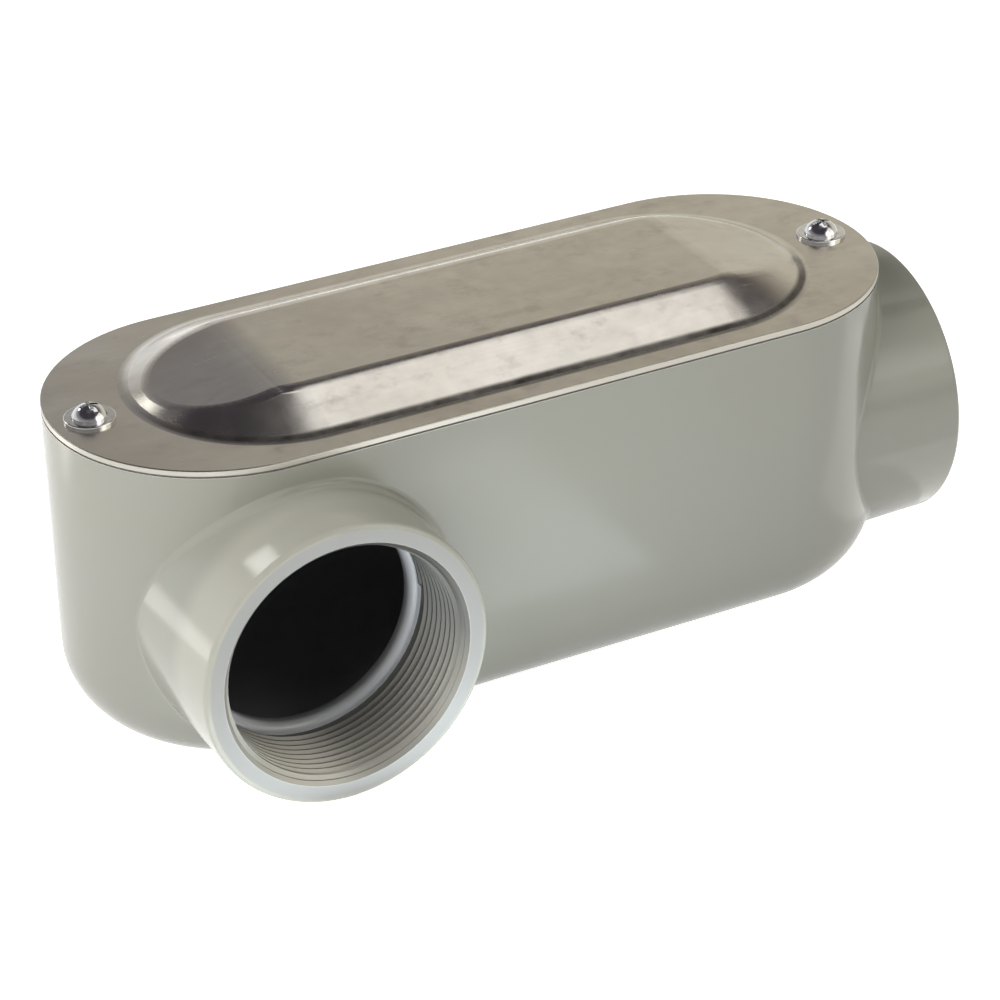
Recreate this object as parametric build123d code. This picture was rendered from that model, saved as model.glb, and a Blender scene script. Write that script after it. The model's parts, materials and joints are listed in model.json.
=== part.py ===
from build123d import *
import os
from math import radians, tan, sqrt

# Conduit body, 2 inch trade size: a cast box with one threaded hub at its end and one on
# its side, closed by a stamped cover that two screws hold.
# Millimetres. +X runs along the box towards the end hub, -Y is the side with the side hub,
# +Z is towards the cover. The origin is the middle of the flat back.

# Cast box
box_length = 211.5            # over both rounded ends, without the hubs
box_width = 81.0
box_height = 78.7             # back to the rim that the cover closes
wall = 4.0
back_wall = 4.2
back_edge_radius = 18.7       # rounding between the back and the sides

# Hubs, as wide as the box's height leaves room for
hub_back_land = 2.1           # from the back to the hub's root
hub_rim_land = 6.0            # from the hub's root to the rim
hub_taper = 0.6               # radial, from the root to the mouth
hub_rim_radius = 1.3
hub_blend_radius = 2.0        # fillet where a hub grows out of the box
side_hub_offset = 1.95        # along the box, from the centre of its rounded end
side_hub_length = 19.7        # from the box's side to the mouth
end_hub_length = 10.9         # from the box's rounded end to the mouth

# Bore of each hub: thread, then a smooth throat that the pipe stops against
thread_diameter = 58.6
thread_depth = 22.9
mouth_chamfer = 0.9
throat_diameter = 53.8
throat_length = 5.4
throat_edge_radius = 2.2
collar_wall = 3.6             # metal round the thread inside the box

# Cover sheet with its raised panel
cover_thickness = 1.3
cover_edge_radius = 0.3
flange_end = 19.75            # flat margin from the sheet's end to the panel's foot
flange_side = 6.8             # the same along the sides
panel_rise = 6.3
panel_side_angle = 25.0       # slope of the panel's sides from the flat
ramp_start = 6.5              # past the centre of the panel's rounded end
panel_tip_rise = 1.2          # how much step is left where a ramp runs out
panel_fold_radius = 8.0       # rounding of the outer face along the level top
panel_ramp_radius = 8.0       # rounding of the outer face along the ramps
panel_foot_radius = 6.0       # rounding of the outer face along the foot

# Gasket
gasket_thickness = 0.5
gasket_inset = 0.35           # from the outside of the box to the gasket's edge

# Cover screws, their washers and their bosses
screw_inset = 9.0             # from the box's rounded end to the screw
screw_diameter = 4.16
screw_length = 9.5            # under the head
screw_tip_chamfer = 0.5
head_diameter = 8.2
head_height = 3.0
head_side_height = 0.5
recess_length = 4.4
recess_width = 0.9
recess_depth = 1.3
washer_diameter = 12.0
washer_thickness = 0.8
washer_edge_radius = 0.3
washer_clearance = 0.35       # radial, round the screw
cover_hole_clearance = 0.45   # radial, in the cover and the gasket
boss_diameter = 12.0
boss_height = 13.0
boss_foot_chamfer = 4.0
screw_running_clearance = 0.07
screw_hole_depth = 8.6

# Worked-out places
rim_z = box_height
cover_z = rim_z + gasket_thickness
flange_z = cover_z + cover_thickness
end_arc_x = (box_length - box_width) / 2
side_y = -box_width / 2
end_x = box_length / 2
hub_root_diameter = box_height - hub_back_land - hub_rim_land
hub_mouth_diameter = hub_root_diameter - 2 * hub_taper
hub_axis_height = hub_back_land + hub_root_diameter / 2
side_hub_x = side_hub_offset - end_arc_x
side_mouth_y = side_y - side_hub_length
end_mouth_x = end_x + end_hub_length
throat_end_depth = thread_depth + throat_length
panel_length = box_length - 2 * flange_end
panel_width = box_width - 2 * flange_side
screw_x = end_x - screw_inset
screw_places = [(-screw_x, 0), (screw_x, 0)]


def stadium(length, width):
    """A flat outline with straight sides and half-round ends, along X."""
    return SlotOverall(length, width)


# Planes with their origin at a hub's mouth and their Z pointing out of it
side_mouth = Plane(origin=(side_hub_x, side_mouth_y, hub_axis_height), x_dir=(1, 0, 0), z_dir=(0, -1, 0))
end_mouth = Plane(origin=(end_mouth_x, 0, hub_axis_height), x_dir=(0, 1, 0), z_dir=(1, 0, 0))


def hub_outside(root_depth):
    """Tapered hub with a rounded rim, from its mouth at Z 0 down to root_depth."""
    cone = Pos(0, 0, -root_depth) * Cone(
        hub_root_diameter / 2,
        hub_mouth_diameter / 2,
        root_depth,
        align=(Align.CENTER, Align.CENTER, Align.MIN),
    )
    return fillet(cone.edges().group_by(Axis.Z)[-1], hub_rim_radius)


def hub_collar(start_depth):
    """Ring inside the box that carries the end of the thread and the throat."""
    length = throat_end_depth - start_depth
    ring = Pos(0, 0, -throat_end_depth) * Cylinder(
        thread_diameter / 2 + collar_wall,
        length,
        align=(Align.CENTER, Align.CENTER, Align.MIN),
    )
    return fillet(ring.edges().group_by(Axis.Z)[0], throat_edge_radius / 2)


def hub_bore():
    """Everything that is cut out along a hub's axis."""
    thread = Pos(0, 0, -thread_depth) * Cylinder(
        thread_diameter / 2, thread_depth, align=(Align.CENTER, Align.CENTER, Align.MIN)
    )
    mouth = Pos(0, 0, -mouth_chamfer) * Cone(
        thread_diameter / 2,
        thread_diameter / 2 + mouth_chamfer,
        mouth_chamfer,
        align=(Align.CENTER, Align.CENTER, Align.MIN),
    )
    # The throat's two edges flare out by a quarter round.
    throat_r = throat_diameter / 2
    flare = throat_edge_radius
    top = -thread_depth
    bottom = -throat_end_depth
    outline = Polyline(
        (0, bottom), (throat_r + flare, bottom)
    ) + RadiusArc((throat_r + flare, bottom), (throat_r, bottom + flare), flare) + Line(
        (throat_r, bottom + flare), (throat_r, top - flare)
    ) + RadiusArc((throat_r, top - flare), (throat_r + flare, top), flare) + Polyline(
        (throat_r + flare, top), (0, top), (0, bottom)
    )
    throat = revolve(make_face(Plane.XZ * outline), Axis.Z)
    return thread + mouth + throat


def boss_outline(side):
    """A screw boss seen from the cover: round its screw, and joined to the end wall on its side."""
    reach = end_x - wall / 2 - screw_x
    return Circle(boss_diameter / 2) + Pos(side * reach / 2, 0) * Rectangle(reach, boss_diameter)


def make_body():
    """One casting: box, hubs, collars and screw bosses."""
    box = extrude(stadium(box_length, box_width), box_height)
    box = fillet(box.edges().group_by(Axis.Z)[0], back_edge_radius)

    # Each hub is rooted well inside the box's wall, where the cavity trims it.
    side_hub = side_mouth * hub_outside(side_hub_length + box_width / 2)
    end_hub = end_mouth * hub_outside(end_hub_length + box_width / 2)
    solid = box + side_hub + end_hub
    seams = new_edges(box, side_hub, end_hub, combined=solid)
    solid = fillet(seams, hub_blend_radius)

    cavity = extrude(stadium(box_length - 2 * wall, box_width - 2 * wall), box_height)
    cavity = fillet(cavity.edges().group_by(Axis.Z)[0], back_edge_radius - wall)
    solid -= Pos(0, 0, back_wall) * cavity

    solid += side_mouth * hub_collar(side_hub_length)
    solid += end_mouth * hub_collar(end_hub_length)

    for side in (-1, 1):
        boss = extrude(boss_outline(side), boss_height)
        boss = chamfer(boss.edges().group_by(Axis.Z)[0], boss_foot_chamfer)
        solid += Pos(side * screw_x, 0, rim_z - boss_height) * boss

    solid -= side_mouth * hub_bore()
    solid -= end_mouth * hub_bore()

    for x, y in screw_places:
        solid -= Pos(x, y, rim_z - screw_hole_depth) * Cylinder(
            screw_diameter / 2 + screw_running_clearance,
            screw_hole_depth,
            align=(Align.CENTER, Align.CENTER, Align.MIN),
        )
    return solid


def panel_block(length, width, inward):
    """The raised panel as a solid on Z 0: sloping sides, level top, a ramp at each end.

    inward is how far this skin lies inside the outer face, for the folds' radii.
    """
    run = panel_rise / tan(radians(panel_side_angle))
    ramp_x = (panel_length - panel_width) / 2 + ramp_start
    block = loft(
        [
            stadium(length, width),
            Pos(0, 0, panel_rise) * stadium(length - 2 * run, width - 2 * run),
        ],
        ruled=True,
    )
    ramps = Polyline(
        (-length / 2, 0),
        (-length / 2, panel_tip_rise),
        (-ramp_x, panel_rise),
        (ramp_x, panel_rise),
        (length / 2, panel_tip_rise),
        (length / 2, 0),
        close=True,
    )
    block &= extrude(make_face(Plane.XZ * ramps), width, both=True)

    def borders_ramp(edge):
        box = edge.bounding_box()
        return box.max.Z > panel_rise / 2 and max(box.max.X, -box.min.X) > ramp_x + 0.1

    def borders_top(edge):
        return edge.bounding_box().min.Z > panel_rise * 0.999

    block = fillet(block.edges().filter_by(borders_ramp), panel_ramp_radius - inward)
    return fillet(block.edges().filter_by(borders_top), panel_fold_radius - inward)


def panel_foot(cover, height):
    """The edges at one height that run round the foot of the panel."""
    reach_x = panel_length / 2 + cover_thickness
    reach_y = panel_width / 2 + cover_thickness

    def runs_round_panel(edge):
        box = edge.bounding_box()
        return max(box.max.X, -box.min.X) < reach_x and max(box.max.Y, -box.min.Y) < reach_y

    return cover.edges().filter_by_position(Axis.Z, height, height).filter_by(runs_round_panel)


def make_cover():
    """Sheet cover of one thickness, with the raised panel stamped into it."""
    sheet = Pos(0, 0, cover_z) * extrude(stadium(box_length, box_width), cover_thickness)
    sheet = fillet(sheet.edges().group_by(Axis.Z)[-1], cover_edge_radius)

    cover = sheet + Pos(0, 0, flange_z) * panel_block(panel_length, panel_width, 0)
    cover = fillet(panel_foot(cover, flange_z), panel_foot_radius)

    # The underside follows the top face one sheet thickness away.
    foot_shift = 2 * cover_thickness * tan(radians(panel_side_angle) / 2)
    inner = panel_block(panel_length - foot_shift, panel_width - foot_shift, cover_thickness)
    cover -= Pos(0, 0, cover_z) * inner
    cover = fillet(panel_foot(cover, cover_z), panel_foot_radius + cover_thickness)

    for x, y in screw_places:
        cover -= Pos(x, y, cover_z) * Cylinder(
            screw_diameter / 2 + cover_hole_clearance,
            cover_thickness,
            align=(Align.CENTER, Align.CENTER, Align.MIN),
        )
    return cover


def make_gasket():
    """Flat ring on the casting's rim, with an ear round each screw."""
    outline = stadium(box_length - 2 * gasket_inset, box_width - 2 * gasket_inset)
    ring = outline - stadium(box_length - 2 * wall, box_width - 2 * wall)
    for side in (-1, 1):
        ring += outline & (Pos(side * screw_x, 0) * boss_outline(side))
    for x, y in screw_places:
        ring -= Pos(x, y) * Circle(screw_diameter / 2 + cover_hole_clearance)
    return Pos(0, 0, rim_z) * extrude(ring, gasket_thickness)


def make_washer(x, y):
    """Plain washer on the cover under one screw head."""
    ring = Cylinder(washer_diameter / 2, washer_thickness, align=(Align.CENTER, Align.CENTER, Align.MIN))
    ring = fillet(ring.edges().group_by(Axis.Z)[-1], washer_edge_radius)
    ring -= Cylinder(
        screw_diameter / 2 + washer_clearance,
        washer_thickness,
        align=(Align.CENTER, Align.CENTER, Align.MIN),
    )
    return Pos(x, y, flange_z) * ring


def make_screw(x, y):
    """Round-headed screw with a cross recess."""
    head_r = head_diameter / 2
    shank_r = screw_diameter / 2
    dome = ThreePointArc(
        (head_r, head_side_height),
        dome_point(head_r, head_side_height, head_height),
        (0, head_height),
    )
    outline = (
        dome
        + Polyline(
            (0, head_height),
            (0, -screw_length),
            (shank_r - screw_tip_chamfer, -screw_length),
            (shank_r, -screw_length + screw_tip_chamfer),
            (shank_r, 0),
            (head_r, 0),
            (head_r, head_side_height),
        )
    )
    screw = revolve(make_face(Plane.XZ * outline), Axis.Z)
    for turn in (0, 90):
        screw -= (
            Pos(0, 0, head_height)
            * Rot(0, 0, turn)
            * Box(recess_length, recess_width, 2 * recess_depth)
        )
    return Pos(x, y, flange_z + washer_thickness) * screw


def dome_point(radius, low, high):
    """A point halfway up the arc whose circle is centred on the head's axis."""
    rise = high - low
    ball = (radius**2 + rise**2) / (2 * rise)
    half = radius / 2
    return (half, high - ball + sqrt(ball**2 - half**2))


left, right = screw_places
pieces = {
    "body": make_body(),
    "cover_gasket": make_gasket(),
    "cover": make_cover(),
    "screw_washer_left": make_washer(*left),
    "screw_washer_right": make_washer(*right),
    "cover_screw_left": make_screw(*left),
    "cover_screw_right": make_screw(*right),
}

os.makedirs("parts", exist_ok=True)
for name, solid in pieces.items():
    export_step(solid, f"parts/{name}.step")
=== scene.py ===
import json
import math

import bmesh
import bpy
from mathutils import Matrix, Vector


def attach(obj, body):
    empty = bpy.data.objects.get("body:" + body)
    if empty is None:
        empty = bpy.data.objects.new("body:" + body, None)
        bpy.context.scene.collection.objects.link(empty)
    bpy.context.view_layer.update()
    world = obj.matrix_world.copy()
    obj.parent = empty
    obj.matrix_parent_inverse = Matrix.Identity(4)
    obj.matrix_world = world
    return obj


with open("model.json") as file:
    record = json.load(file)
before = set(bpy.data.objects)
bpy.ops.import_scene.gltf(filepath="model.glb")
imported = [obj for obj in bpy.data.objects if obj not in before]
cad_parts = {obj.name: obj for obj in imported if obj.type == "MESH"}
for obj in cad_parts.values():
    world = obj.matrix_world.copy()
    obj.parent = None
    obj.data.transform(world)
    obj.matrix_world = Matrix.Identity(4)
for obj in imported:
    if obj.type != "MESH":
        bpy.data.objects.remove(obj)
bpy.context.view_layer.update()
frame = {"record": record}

# Dressing of a 2 inch conduit body: enamelled casting, stamped cover, screws and threads.
# Metres, in the frame of the CAD model: +X towards the end hub, -Y towards the side hub, +Z up.

MM = 0.001

# Sizes of the casting and cover that their finishes follow
box_length = 211.5 * MM
box_width = 81.0 * MM
box_height = 78.7 * MM
wall = 4.0 * MM
back_edge_radius = 18.7 * MM
hub_axis_height = 37.4 * MM
side_hub_x = -63.3 * MM
side_mouth_y = -60.2 * MM
end_mouth_x = 116.65 * MM
thread_radius = 29.3 * MM
thread_depth = 22.9 * MM
mouth_chamfer = 0.9 * MM
throat_length = 5.4 * MM
mouth_face_radius = 33.4 * MM
flange_top = 80.5 * MM
panel_top = 86.8 * MM
ramp_x = 58.8 * MM
ramp_fall = (6.3 - 1.2) / (86.0 - 58.8)
pressed_fold_width = 1.6 * MM
left_fold_width = 13.0 * MM
right_fold_width = 4.0 * MM
end_arc_x = (box_length - box_width) / 2
front_wall_y = -box_width / 2


class Finish:
    """A material built up around one Principled shader."""

    def __init__(self, name, colour, metallic, roughness):
        self.material = bpy.data.materials.new(name)
        self.material.use_nodes = True
        self.nodes = self.material.node_tree.nodes
        self.links = self.material.node_tree.links
        self.shader = self.nodes["Principled BSDF"]
        self.set("Base Color", (*colour, 1.0))
        self.set("Metallic", metallic)
        self.set("Roughness", roughness)
        place = self.nodes.new("ShaderNodeTexCoord")
        self.place = place.outputs["Object"]

    def set(self, socket, value):
        """Put a number, a colour or another node's output on one of the shader's sockets."""
        self.feed(self.shader.inputs[socket], value)

    def feed(self, socket, value):
        if isinstance(value, bpy.types.NodeSocket):
            self.links.new(value, socket)
        else:
            socket.default_value = value

    def math(self, operation, first, second=0.0):
        node = self.nodes.new("ShaderNodeMath")
        node.operation = operation
        self.feed(node.inputs[0], first)
        self.feed(node.inputs[1], second)
        return node.outputs[0]

    def axes(self):
        """The place on the object as X, Y and Z."""
        node = self.nodes.new("ShaderNodeSeparateXYZ")
        self.links.new(self.place, node.inputs[0])
        return node.outputs

    def both(self, first, second):
        """Where both masks are."""
        return self.math("MULTIPLY", first, second)

    def either(self, first, second):
        """Where one mask or the other is."""
        return self.math("MAXIMUM", first, second)

    def length(self, first, second):
        squares = self.math("ADD", self.math("POWER", first, 2.0), self.math("POWER", second, 2.0))
        return self.math("SQRT", squares)

    def above(self, value, edge, softness=0.05 * MM):
        """1 where value is over edge, 0 where it is under, with a soft step between."""
        node = self.nodes.new("ShaderNodeMapRange")
        node.interpolation_type = "SMOOTHSTEP"
        self.feed(node.inputs["Value"], value)
        node.inputs["From Min"].default_value = edge - softness
        node.inputs["From Max"].default_value = edge + softness
        return node.outputs[0]

    def below(self, value, edge, softness=0.05 * MM):
        return self.math("SUBTRACT", 1.0, self.above(value, edge, softness))

    def mapped(self, scale, turn=0.0, shift=(0.0, 0.0, 0.0)):
        """The place on the object, scaled, turned about Z and shifted."""
        node = self.nodes.new("ShaderNodeMapping")
        self.links.new(self.place, node.inputs["Vector"])
        node.inputs["Scale"].default_value = scale
        node.inputs["Rotation"].default_value = (0.0, 0.0, turn)
        node.inputs["Location"].default_value = shift
        return node.outputs[0]

    def clouds(self, place, detail, roughness=0.5):
        node = self.nodes.new("ShaderNodeTexNoise")
        self.links.new(place, node.inputs["Vector"])
        node.inputs["Scale"].default_value = 1.0
        node.inputs["Detail"].default_value = detail
        node.inputs["Roughness"].default_value = roughness
        return node.outputs["Fac"]

    def noise(self, size, detail=3.0, stretch=(1.0, 1.0, 1.0), roughness=0.5, seed=0.0):
        """Noise whose blotches are about one size across, stretched along the axes."""
        scale = [1.0 / (size * factor) for factor in stretch]
        return self.clouds(self.mapped(scale, shift=(seed, seed, seed)), detail, roughness)

    def spread(self, value, low, high, from_low=0.3, from_high=0.7):
        """Map a noise value onto a range."""
        node = self.nodes.new("ShaderNodeMapRange")
        self.feed(node.inputs["Value"], value)
        node.inputs["From Min"].default_value = from_low
        node.inputs["From Max"].default_value = from_high
        node.inputs["To Min"].default_value = low
        node.inputs["To Max"].default_value = high
        return node.outputs[0]

    def mix(self, factor, first, second):
        """Blend two colours."""
        node = self.nodes.new("ShaderNodeMix")
        node.data_type = "RGBA"
        self.feed(node.inputs["Factor"], factor)
        self.feed(node.inputs[6], first)
        self.feed(node.inputs[7], second)
        return node.outputs[2]

    def blend(self, factor, first, second):
        """Blend two numbers."""
        node = self.nodes.new("ShaderNodeMix")
        self.feed(node.inputs[0], factor)
        self.feed(node.inputs[2], first)
        self.feed(node.inputs[3], second)
        return node.outputs[0]

    def bump(self, height, strength, distance):
        node = self.nodes.new("ShaderNodeBump")
        node.inputs["Strength"].default_value = strength
        node.inputs["Distance"].default_value = distance
        self.feed(node.inputs["Height"], height)
        self.set("Normal", node.outputs[0])

    def specks(self, spacing, size, share):
        """Small round specks, one in each of a share of the cells of the given spacing."""
        cells = self.nodes.new("ShaderNodeTexVoronoi")
        self.links.new(self.mapped((1.0 / spacing,) * 3), cells.inputs["Vector"])
        cells.inputs["Scale"].default_value = 1.0
        near = self.below(cells.outputs["Distance"], size / spacing, 0.4 * size / spacing)
        pick = self.nodes.new("ShaderNodeSeparateXYZ")
        self.links.new(cells.outputs["Color"], pick.inputs[0])
        return self.both(near, self.math("LESS_THAN", pick.outputs[0], share))

    def scratches(self, sets):
        """Fine straight scratches in the sheet's plane; each set has a turn, a width and a length."""
        marks = 0.0
        height = 9 * MM
        for number, (turn, width, length) in enumerate(sets):
            scale = (1.0 / length, 1.0 / width, 1.0 / height)
            place = self.mapped(scale, turn, (number * 7.3, number * 3.1, 0.0))
            marks = self.either(marks, self.spread(self.clouds(place, 1.0), 0.0, 1.0, 0.73, 0.82))
        return self.math("MINIMUM", marks, 1.0)

    def fold(self, past, width):
        """Drop of a rounded fold of the given width, in metres, past being the distance from the fold."""
        near = self.math("SUBTRACT", width / 2, self.math("ABSOLUTE", past))
        near = self.math("MAXIMUM", near, 0.0)
        return self.math("MULTIPLY", self.math("POWER", near, 2.0), ramp_fall / (2 * width))

    def cross_folds(self, x, z):
        """Height in metres that rounds the folds between the panel's level top and its ramps."""
        past = self.math("SUBTRACT", self.math("ABSOLUTE", x), ramp_x)
        left = self.fold(past, left_fold_width)
        right = self.fold(past, right_fold_width)
        wide = self.blend(self.above(x, 0.0), left, right)
        soften = self.math("SUBTRACT", self.fold(past, pressed_fold_width), wide)
        ramp_drop = self.math("MULTIPLY", self.math("MAXIMUM", past, 0.0), ramp_fall)
        above_ramp = self.math("ADD", self.math("SUBTRACT", z, panel_top), ramp_drop)
        return self.math("MULTIPLY", soften, self.above(above_ramp, -0.35 * MM, 0.3 * MM))

    def from_middle_line(self, x, y):
        """Distance from the box's middle line, which ends at the centres of the round ends."""
        past_arc = self.math("SUBTRACT", self.math("ABSOLUTE", x), end_arc_x)
        return self.length(self.math("MAXIMUM", past_arc, 0.0), y)


def rgb(red, green, blue):
    return (red, green, blue, 1.0)


def casting_zones(finish):
    """Masks over the casting, each 1 in its own zone and 0 outside it."""
    x, y, z = finish.axes()
    # Depth under the outer skin of the box, rounded back edge included
    out = finish.math("SUBTRACT", finish.from_middle_line(x, y), box_width / 2 - back_edge_radius)
    out = finish.math("MAXIMUM", out, 0.0)
    down = finish.math("MAXIMUM", finish.math("SUBTRACT", back_edge_radius, z), 0.0)
    skin = finish.math("SUBTRACT", finish.length(out, down), back_edge_radius)
    # Painted shade: the hollow inside of the casting is coloured dark
    dark = finish.below(skin, -wall / 2, wall / 4)

    right = finish.math("SUBTRACT", x, side_hub_x)
    up = finish.math("SUBTRACT", z, hub_axis_height)
    side_hub = (finish.length(right, up), finish.math("SUBTRACT", y, side_mouth_y))
    end_hub = (finish.length(y, up), finish.math("SUBTRACT", end_mouth_x, x))
    threads = 0.0
    shade = 0.0
    painted_light_rings = 0.0
    mouths = 0.0
    for radius, depth in (side_hub, end_hub):
        in_bore = finish.below(radius, thread_radius + 1.0 * MM)
        at_thread = finish.both(in_bore, finish.below(depth, thread_depth - 0.1 * MM))
        in_shade = finish.both(at_thread, finish.above(depth, 0.5 * thread_depth, 0.5 * thread_depth))
        # Painted light on the throat ring, fading into the painted shade inside
        lit_ring = finish.both(in_bore, finish.below(depth, thread_depth + 2.0 * MM, 1.6 * MM))
        on_face = finish.below(radius, mouth_face_radius, 0.2 * MM)
        on_mouth = finish.both(on_face, finish.below(depth, 0.06 * MM))
        threads = finish.either(threads, at_thread)
        shade = finish.either(shade, in_shade)
        painted_light_rings = finish.either(painted_light_rings, lit_ring)
        mouths = finish.either(mouths, on_mouth)
        dark = finish.both(dark, finish.math("SUBTRACT", 1.0, lit_ring))

    # Painted shade at the upper right, where the side hub leaves the wall
    off_wall = finish.math("SUBTRACT", front_wall_y, y)
    painted_corner_shade = finish.both(finish.above(off_wall, 0.16 * MM, 0.1 * MM), finish.above(up, 22 * MM, 14 * MM))
    painted_corner_shade = finish.both(painted_corner_shade, finish.below(off_wall, 0.6 * MM, 0.4 * MM))
    painted_corner_shade = finish.both(painted_corner_shade, finish.above(right, 0.0, 12 * MM))
    # Painted shade on the far upper part of the side hub's thread
    far_up = finish.math("ADD", up, finish.math("MULTIPLY", right, 0.5))
    return {
        "threads": threads,
        "shade": shade,
        "painted_light_rings": painted_light_rings,
        "mouths": mouths,
        "dark": dark,
        "rim": finish.above(z, box_height - 0.1 * MM, 0.05 * MM),
        "side_hub_painted_light": finish.below(y, front_wall_y - 4 * MM, 4 * MM),
        "painted_corner_shade": painted_corner_shade,
        "painted_thread_shade": finish.above(far_up, 5 * MM, 14 * MM),
    }


def enamelled_casting():
    """Light grey enamel outside, cut threads and mouths, bare rim; painted shade inside the casting, and
    painted light on the throat rings.
    """
    finish = Finish("enamelled_casting", (0.40, 0.40, 0.37), 0.0, 0.16)
    zones = casting_zones(finish)

    cloud = finish.spread(finish.noise(48 * MM, 3.0), 0.0, 1.0)
    paint = finish.mix(cloud, rgb(0.410, 0.408, 0.352), rgb(0.412, 0.418, 0.375))
    # Painted light: the enamel is made paler on the side hub
    paint = finish.mix(zones["side_hub_painted_light"], paint, rgb(0.515, 0.51, 0.445))
    pits = finish.specks(9 * MM, 0.18 * MM, 0.35)
    paint = finish.mix(finish.math("MULTIPLY", pits, 0.6), paint, rgb(0.16, 0.15, 0.13))
    # Painted shade where the side hub leaves the wall, broken up by noise
    stain_and_shade_noise = finish.spread(finish.noise(9 * MM, 3.0, seed=8.0), 0.4, 0.85)
    paint = finish.mix(finish.both(zones["painted_corner_shade"], stain_and_shade_noise), paint, rgb(0.15, 0.135, 0.105))
    cut = finish.mix(zones["shade"], rgb(0.43, 0.415, 0.37), rgb(0.19, 0.185, 0.17))
    # Painted shade on the upper right of the side hub's thread
    cut = finish.mix(finish.math("MULTIPLY", zones["painted_thread_shade"], 0.9), cut, rgb(0.07, 0.066, 0.06))
    # Painted light: the throat ring is much paler than the enamel
    colour = finish.mix(zones["painted_light_rings"], paint, rgb(0.86, 0.88, 0.92))
    colour = finish.mix(zones["threads"], colour, cut)
    colour = finish.mix(zones["mouths"], colour, rgb(0.42, 0.418, 0.405))
    # Painted shade inside the casting
    colour = finish.mix(zones["dark"], colour, rgb(0.22, 0.22, 0.24))
    colour = finish.mix(zones["rim"], colour, rgb(0.5, 0.49, 0.47))
    finish.set("Base Color", colour)
    finish.set("Metallic", finish.either(finish.math("MULTIPLY", zones["threads"], 0.4), zones["rim"]))

    bare = finish.either(finish.either(zones["threads"], zones["rim"]), zones["mouths"])
    rough = finish.spread(finish.noise(30 * MM, 4.0), 0.12, 0.20)
    rough = finish.blend(bare, rough, 0.36)
    finish.set("Roughness", finish.blend(zones["dark"], rough, 0.8))

    peel = finish.math("MULTIPLY", finish.noise(3.2 * MM, 1.0), 0.04)
    waves = finish.math("ADD", peel, finish.noise(26 * MM, 1.0))
    waves = finish.math("SUBTRACT", waves, finish.math("MULTIPLY", pits, 0.3))
    finish.bump(waves, 0.4, 0.12 * MM)
    return finish.material


def cover_sheet():
    """Satin rolled aluminium: stains, rolling streaks and fine scratches."""
    finish = Finish("cover_sheet", (0.62, 0.585, 0.53), 1.0, 0.22)
    x, y, z = finish.axes()
    stain_and_shade_noise = finish.noise(22 * MM, 5.0, (1.8, 1.0, 1.0), 0.6)
    blot = finish.noise(7 * MM, 5.0, (1.3, 1.0, 1.0), 0.65, 3.0)
    streak = finish.noise(0.9 * MM, 2.0, (30.0, 1.0, 1.0), 0.5, 5.0)
    colour = finish.mix(finish.spread(stain_and_shade_noise, 0.0, 1.0), rgb(0.545, 0.505, 0.445), rgb(0.66, 0.63, 0.57))
    grime = finish.spread(blot, 0.0, 0.5, 0.54, 0.75)
    colour = finish.mix(grime, colour, rgb(0.44, 0.40, 0.345))
    colour = finish.mix(finish.spread(streak, 0.0, 0.14), colour, rgb(0.50, 0.47, 0.43))
    scratches = finish.scratches((
        (0.35, 1.1 * MM, 11.0 * MM),
        (-0.9, 0.9 * MM, 7.0 * MM),
        (1.25, 0.8 * MM, 9.0 * MM),
    ))
    colour = finish.mix(finish.math("MULTIPLY", scratches, 0.22), colour, rgb(0.78, 0.76, 0.72))
    # The sheared edge is duller than the sheet
    edge = finish.above(finish.from_middle_line(x, y), box_width / 2 - 0.22 * MM, 0.12 * MM)
    colour = finish.mix(edge, colour, rgb(0.48, 0.46, 0.41))
    # Painted shade: a dark line along the base of the pressed slope on the front side
    painted_foot_shade = finish.above(z, flange_top + 0.12 * MM, 0.1 * MM)
    painted_foot_shade = finish.both(painted_foot_shade, finish.below(z, flange_top + 0.75 * MM, 0.3 * MM))
    painted_foot_shade = finish.both(painted_foot_shade, finish.below(y, -10 * MM, 12 * MM))
    painted_foot_shade = finish.both(painted_foot_shade, finish.spread(finish.noise(6 * MM, 3.0, seed=9.0), 0.7, 1.0))
    colour = finish.mix(painted_foot_shade, colour, rgb(0.065, 0.06, 0.052))
    finish.set("Base Color", colour)

    rough = finish.spread(finish.noise(5 * MM, 5.0, seed=2.0), 0.17, 0.25)
    for marks, roughening in ((painted_foot_shade, 0.25), (grime, 0.12), (scratches, 0.08), (edge, 0.15)):
        rough = finish.math("ADD", rough, finish.math("MULTIPLY", marks, roughening))
    finish.set("Roughness", rough)

    # Pressed slopes took a coarser grain than the flat sheet
    slope = finish.above(z, flange_top + 0.5 * MM, 0.4 * MM)
    slope = finish.both(slope, finish.below(z, panel_top - 0.3 * MM, 0.2 * MM))
    grain = finish.noise(1.1 * MM, 2.0, seed=4.0)
    grain = finish.math("MULTIPLY", grain, finish.blend(slope, 0.010, 0.05))
    dents = finish.noise(17 * MM, 1.0, seed=6.0)
    height = finish.math("ADD", grain, dents)
    height = finish.math("ADD", height, finish.math("MULTIPLY", scratches, -0.03))
    height = finish.math("MULTIPLY", height, 0.05 * MM)
    finish.bump(finish.math("ADD", height, finish.cross_folds(x, z)), 1.0, 1.0)
    return finish.material


def bright_plate():
    """Bright zinc plate on the screws and washers."""
    finish = Finish("bright_plate", (0.74, 0.745, 0.76), 1.0, 0.12)
    dull = finish.spread(finish.noise(1.8 * MM, 4.0), 0.0, 1.0)
    finish.set("Base Color", finish.mix(dull, rgb(0.78, 0.785, 0.80), rgb(0.62, 0.61, 0.60)))
    finish.set("Roughness", finish.spread(finish.noise(1.2 * MM, 3.0, seed=2.0), 0.07, 0.19))
    finish.bump(finish.noise(1.5 * MM, 1.0), 0.3, 0.02 * MM)
    return finish.material


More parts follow.
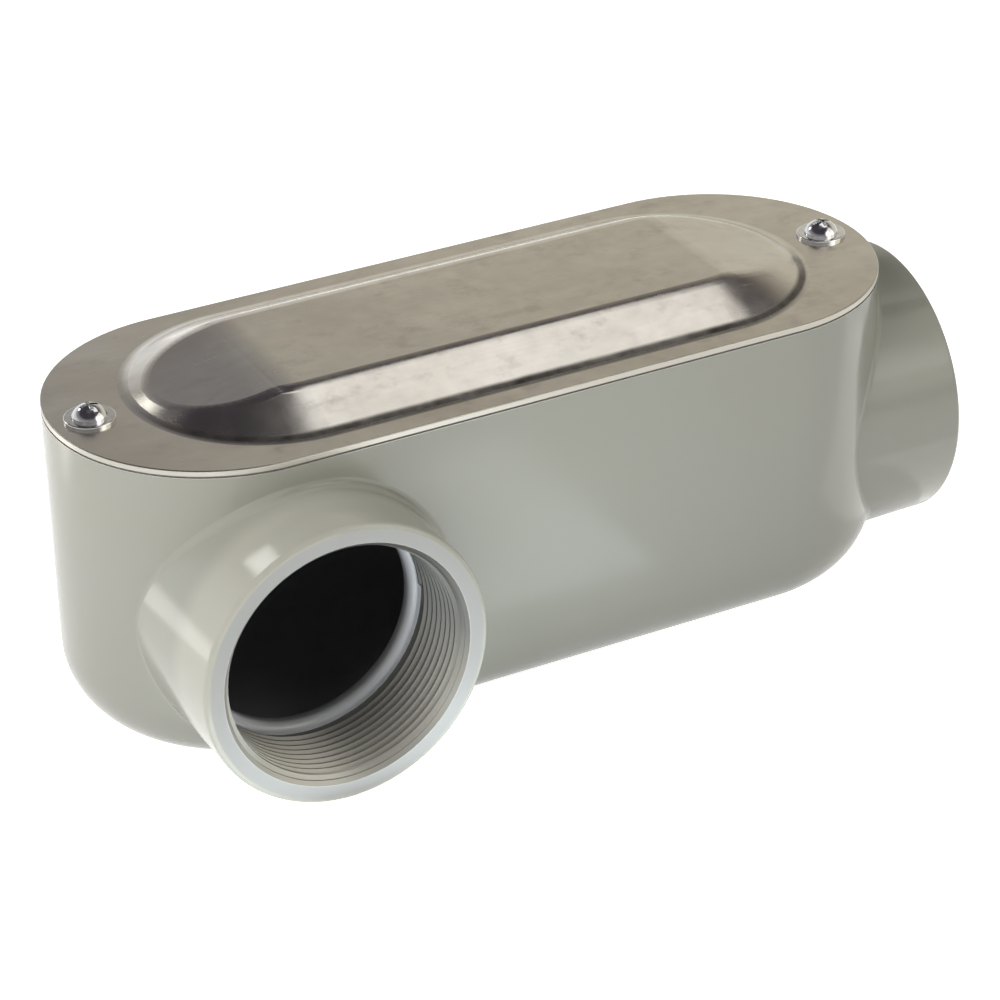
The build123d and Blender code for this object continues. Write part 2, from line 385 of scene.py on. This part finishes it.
def gasket_rubber():
    """Grey sheet gasket."""
    finish = Finish("gasket_rubber", (0.16, 0.155, 0.145), 0.0, 0.65)
    fleck = finish.spread(finish.noise(0.7 * MM, 3.0), 0.0, 1.0)
    finish.set("Base Color", finish.mix(fleck, rgb(0.24, 0.232, 0.215), rgb(0.34, 0.332, 0.31)))
    finish.set("Roughness", finish.spread(fleck, 0.55, 0.75, 0.0, 1.0))
    finish.bump(finish.noise(0.8 * MM, 2.0), 0.3, 0.05 * MM)
    return finish.material


finishes = {
    "enamelled_casting": enamelled_casting(),
    "cover_sheet": cover_sheet(),
    "bright_plate": bright_plate(),
    "gasket_rubber": gasket_rubber(),
}
slot_of_node = {part["node"]: part["material_slot"] for part in frame["record"]["subparts"]}
for node_name, slot_name in slot_of_node.items():
    bpy.data.objects[node_name].material_slots[0].material = finishes[slot_name]


# Threads in the hubs

pitch = 25.4 / 11.5 * MM
crest_height = 1.15 * MM
ridge_share = 0.96
run_in_slope = 0.8
thread_steps = 96


def add_piece(name, mesh, finish_name, body):
    piece = bpy.data.objects.new(name, mesh)
    bpy.context.scene.collection.objects.link(piece)
    piece.data.materials.append(finishes[finish_name])
    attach(piece, body)


def hub_thread(name, place):
    """Helical ridges of a pipe thread, built down from the mouth along -Z and then placed."""
    root = thread_radius + 0.08 * MM
    crest = thread_radius - crest_height
    bottom = -thread_depth + 0.3 * MM
    top = -mouth_chamfer
    last = -0.05 * MM
    turns = (last - bottom) / pitch - ridge_share
    profile = [(root, 0.0), (crest, 0.38), (crest, 0.58), (root, ridge_share)]
    mesh = bmesh.new()
    ring = [mesh.verts.new((radius, 0.0, bottom + share * pitch)) for radius, share in profile]
    start = mesh.faces.new(ring)
    steps = round(thread_steps * turns)
    spun = bmesh.ops.spin(
        mesh,
        geom=[start, *start.edges, *start.verts],
        cent=(0, 0, 0),
        axis=(0, 0, 1),
        dvec=(0, 0, pitch / thread_steps),
        angle=math.tau * steps / thread_steps,
        steps=steps,
    )
    run_outs = {vertex for vertex in spun["geom_last"] if isinstance(vertex, bmesh.types.BMVert)}
    run_outs.update(ring)
    # The crests run out into the mouth's chamfer, and each end of the ridge into the wall
    for vertex in mesh.verts:
        radius = math.hypot(vertex.co.x, vertex.co.y)
        past_top = vertex.co.z - top
        if past_top > 0:
            least = root + past_top
        elif vertex in run_outs:
            least = root
        else:
            least = root + run_in_slope * past_top
        if radius < least:
            vertex.co.x *= least / radius
            vertex.co.y *= least / radius
    bmesh.ops.recalc_face_normals(mesh, faces=mesh.faces)
    mesh.transform(place)
    data = bpy.data.meshes.new(name)
    mesh.to_mesh(data)
    mesh.free()
    add_piece(name, data, "enamelled_casting", "casting")


side_mouth = Matrix.Translation((side_hub_x, side_mouth_y, hub_axis_height))
end_mouth = Matrix.Translation((end_mouth_x, 0, hub_axis_height))
hub_thread("side_hub_thread", side_mouth @ Matrix.Rotation(math.pi / 2, 4, "X"))
hub_thread("end_hub_thread", end_mouth @ Matrix.Rotation(math.pi / 2, 4, "Y"))


# Studio: pale floor, soft lights and a pale surround

def largest(nodes, links, outputs):
    """The largest of several numbers."""
    value = outputs[0]
    for other in outputs[1:]:
        node = nodes.new("ShaderNodeMath")
        node.operation = "MAXIMUM"
        links.new(value, node.inputs[0])
        links.new(other, node.inputs[1])
        value = node.outputs[0]
    return value


def height_ramp(nodes, links, height, stops):
    """Colours of the surround by the height of the direction, 0 at the horizon and 1 overhead."""
    ramp = nodes.new("ShaderNodeValToRGB")
    links.new(height, ramp.inputs["Fac"])
    elements = ramp.color_ramp.elements
    elements[0].position = stops[0][0]
    elements[0].color = rgb(*stops[0][1])
    elements[1].position = stops[-1][0]
    elements[1].color = rgb(*stops[-1][1])
    for position, colour in stops[1:-1]:
        elements.new(position).color = rgb(*colour)
    return ramp.outputs["Color"]


def surround():
    """Studio walls: pale and cool low at the back left, warm at the back right, dark higher up."""
    world = bpy.data.worlds.new("studio")
    bpy.context.scene.world = world
    world.use_nodes = True
    nodes = world.node_tree.nodes
    links = world.node_tree.links
    background = nodes["Background"]
    direction = nodes.new("ShaderNodeTexCoord")
    split = nodes.new("ShaderNodeSeparateXYZ")
    links.new(direction.outputs["Generated"], split.inputs[0])
    left = height_ramp(nodes, links, split.outputs["Z"], [
        (0.0, (1.0, 1.02, 1.05)),
        (0.16, (1.0, 1.02, 1.05)),
        (0.38, (0.66, 0.655, 0.66)),
        (0.43, (0.42, 0.405, 0.38)),
        (0.47, (0.31, 0.295, 0.275)),
        (0.55, (0.29, 0.29, 0.315)),
        (0.63, (0.17, 0.165, 0.185)),
        (0.70, (0.06, 0.053, 0.068)),
        (0.96, (0.055, 0.05, 0.06)),
        (1.0, (0.12, 0.12, 0.12)),
    ])
    right = height_ramp(nodes, links, split.outputs["Z"], [
        (0.0, (0.76, 0.74, 0.66)),
        (0.32, (0.74, 0.71, 0.62)),
        (0.45, (0.65, 0.62, 0.54)),
        (0.53, (0.40, 0.38, 0.34)),
        (0.62, (0.18, 0.17, 0.165)),
        (0.71, (0.085, 0.078, 0.088)),
        (0.84, (0.10, 0.094, 0.10)),
        (1.0, (0.25, 0.25, 0.25)),
    ])
    side = nodes.new("ShaderNodeMapRange")
    side.interpolation_type = "SMOOTHSTEP"
    links.new(split.outputs["X"], side.inputs["Value"])
    side.inputs["From Min"].default_value = 0.27
    side.inputs["From Max"].default_value = 0.40
    walls = nodes.new("ShaderNodeMix")
    walls.data_type = "RGBA"
    links.new(side.outputs[0], walls.inputs[0])
    links.new(left, walls.inputs[6])
    links.new(right, walls.inputs[7])
    path = nodes.new("ShaderNodeLightPath")
    seen = nodes.new("ShaderNodeMix")
    seen.data_type = "RGBA"
    links.new(path.outputs["Is Camera Ray"], seen.inputs[0])
    links.new(walls.outputs[2], seen.inputs[6])
    seen.inputs[7].default_value = rgb(1, 1, 1)
    links.new(seen.outputs[2], background.inputs["Color"])
    outputs = [path.outputs[ray] for ray in ("Is Camera Ray", "Is Glossy Ray", "Is Transmission Ray")]
    level = nodes.new("ShaderNodeMapRange")
    links.new(largest(nodes, links, outputs), level.inputs["Value"])
    level.inputs["To Min"].default_value = surround_fill
    level.inputs["To Max"].default_value = 1.0
    links.new(level.outputs[0], background.inputs["Strength"])


def floor():
    """Pale floor that shows white and keeps the object's shadow."""
    mesh = bmesh.new()
    bmesh.ops.create_grid(mesh, x_segments=1, y_segments=1, size=6.0)
    data = bpy.data.meshes.new("floor")
    mesh.to_mesh(data)
    mesh.free()
    plane = bpy.data.objects.new("floor", data)
    bpy.context.scene.collection.objects.link(plane)
    material = bpy.data.materials.new("floor")
    material.use_nodes = True
    nodes = material.node_tree.nodes
    links = material.node_tree.links
    nodes.clear()
    matt = nodes.new("ShaderNodeBsdfDiffuse")
    matt.inputs["Color"].default_value = rgb(0.8, 0.8, 0.8)
    glow = nodes.new("ShaderNodeEmission")
    path = nodes.new("ShaderNodeLightPath")
    outputs = [path.outputs[ray] for ray in ("Is Glossy Ray", "Is Transmission Ray")]
    level = nodes.new("ShaderNodeMath")
    level.operation = "MULTIPLY"
    level.inputs[1].default_value = floor_glow
    links.new(largest(nodes, links, outputs), level.inputs[0])
    white = nodes.new("ShaderNodeMath")
    white.operation = "MULTIPLY"
    white.inputs[1].default_value = floor_white
    links.new(path.outputs["Is Camera Ray"], white.inputs[0])
    links.new(largest(nodes, links, [level.outputs[0], white.outputs[0]]), glow.inputs["Strength"])
    both = nodes.new("ShaderNodeAddShader")
    links.new(matt.outputs[0], both.inputs[0])
    links.new(glow.outputs[0], both.inputs[1])
    output = nodes.new("ShaderNodeOutputMaterial")
    links.new(both.outputs[0], output.inputs["Surface"])
    data.materials.append(material)


def soft_light(name, place, aim, size, brightness, colour=(1.0, 1.0, 1.0), mirrored=True):
    """A soft box of the given width, height and brightness; one that isn't mirrored leaves no highlight."""
    lamp = bpy.data.lights.new(name, "AREA")
    lamp.shape = "RECTANGLE"
    width, height = size
    lamp.size = width
    lamp.size_y = height
    lamp.energy = brightness * math.pi * width * height
    lamp.color = colour
    light = bpy.data.objects.new(name, lamp)
    bpy.context.scene.collection.objects.link(light)
    light.location = place
    light.rotation_euler = (Vector(aim) - Vector(place)).to_track_quat("-Z", "Y").to_euler()
    light.visible_camera = False
    light.visible_glossy = mirrored


def floor_light(name, place, size, brightness, colour):
    """A glowing card that lies on the floor and shines upwards."""
    x, y = place
    soft_light(name, (x, y, 1 * MM), (x, y, 1.0), size, brightness, colour)


surround_fill = 0.10
floor_glow = 0.80
floor_white = 0.92
surround()
floor()
middle = (0.0, 0.0, 0.045)
hub_highlight = (-0.080, -0.050, 0.067)
plain = (1.0, 0.99, 0.96)
warm = (1.0, 0.97, 0.88)
cool = (0.84, 0.95, 1.0)
soft_light("left_key", (-0.570, -0.170, 0.456), middle, (0.64, 0.60), 3.2, plain, mirrored=False)
soft_light("right_box", (0.60, -0.50, 0.50), middle, (0.72, 0.72), 1.0, warm)
soft_light("front_box", (0.37, -0.64, 0.52), middle, (0.40, 0.40), 1.2, plain)
soft_light("overhead", (0.40, 0.14, 0.98), middle, (0.56, 0.40), 1.2)
soft_light("back_left_window", (-0.321, 0.67, 0.551), hub_highlight, (0.205, 0.142), 5.0, plain)
soft_light("back_fill", (0.15, 0.85, 0.30), middle, (0.60, 0.40), 3.0, plain, mirrored=False)
floor_light("left_card", (-0.29, 0.25), (0.22, 0.30), 1.7, plain)
floor_light("hub_card", (-0.07, -0.090), (0.11, 0.045), 2.3, cool)
floor_light("front_card", (0.0, -0.12), (0.10, 0.08), 1.5, cool)
floor_light("far_front_card", (-0.10, -0.34), (0.32, 0.20), 1.7, plain)
floor_light("right_card", (0.18, -0.046), (0.12, 0.06), 0.6, plain)


# Camera at the photo's viewing angle

view_azimuth = math.radians(-27.46)
view_elevation = math.radians(29.0)
view_roll = math.radians(-1.285)
view_distance = 0.8436
view_target = Vector((-4.4, -20.6, 43.9)) * MM
lens_mm = 129.3
sensor_mm = 36.0


def camera():
    data = bpy.data.cameras.new("camera")
    data.sensor_width = sensor_mm
    data.lens = lens_mm
    data.clip_start = 0.01
    eye = bpy.data.objects.new("camera", data)
    bpy.context.scene.collection.objects.link(eye)
    back = Vector((
        math.sin(view_azimuth) * math.cos(view_elevation),
        -math.cos(view_azimuth) * math.cos(view_elevation),
        math.sin(view_elevation),
    ))
    aim = back.to_track_quat("Z", "Y").to_matrix().to_4x4()
    roll = Matrix.Rotation(view_roll, 4, "Z")
    eye.matrix_world = Matrix.Translation(view_target + back * view_distance) @ aim @ roll
    bpy.context.scene.camera = eye


camera()
bpy.context.scene.view_settings.view_transform = "Standard"
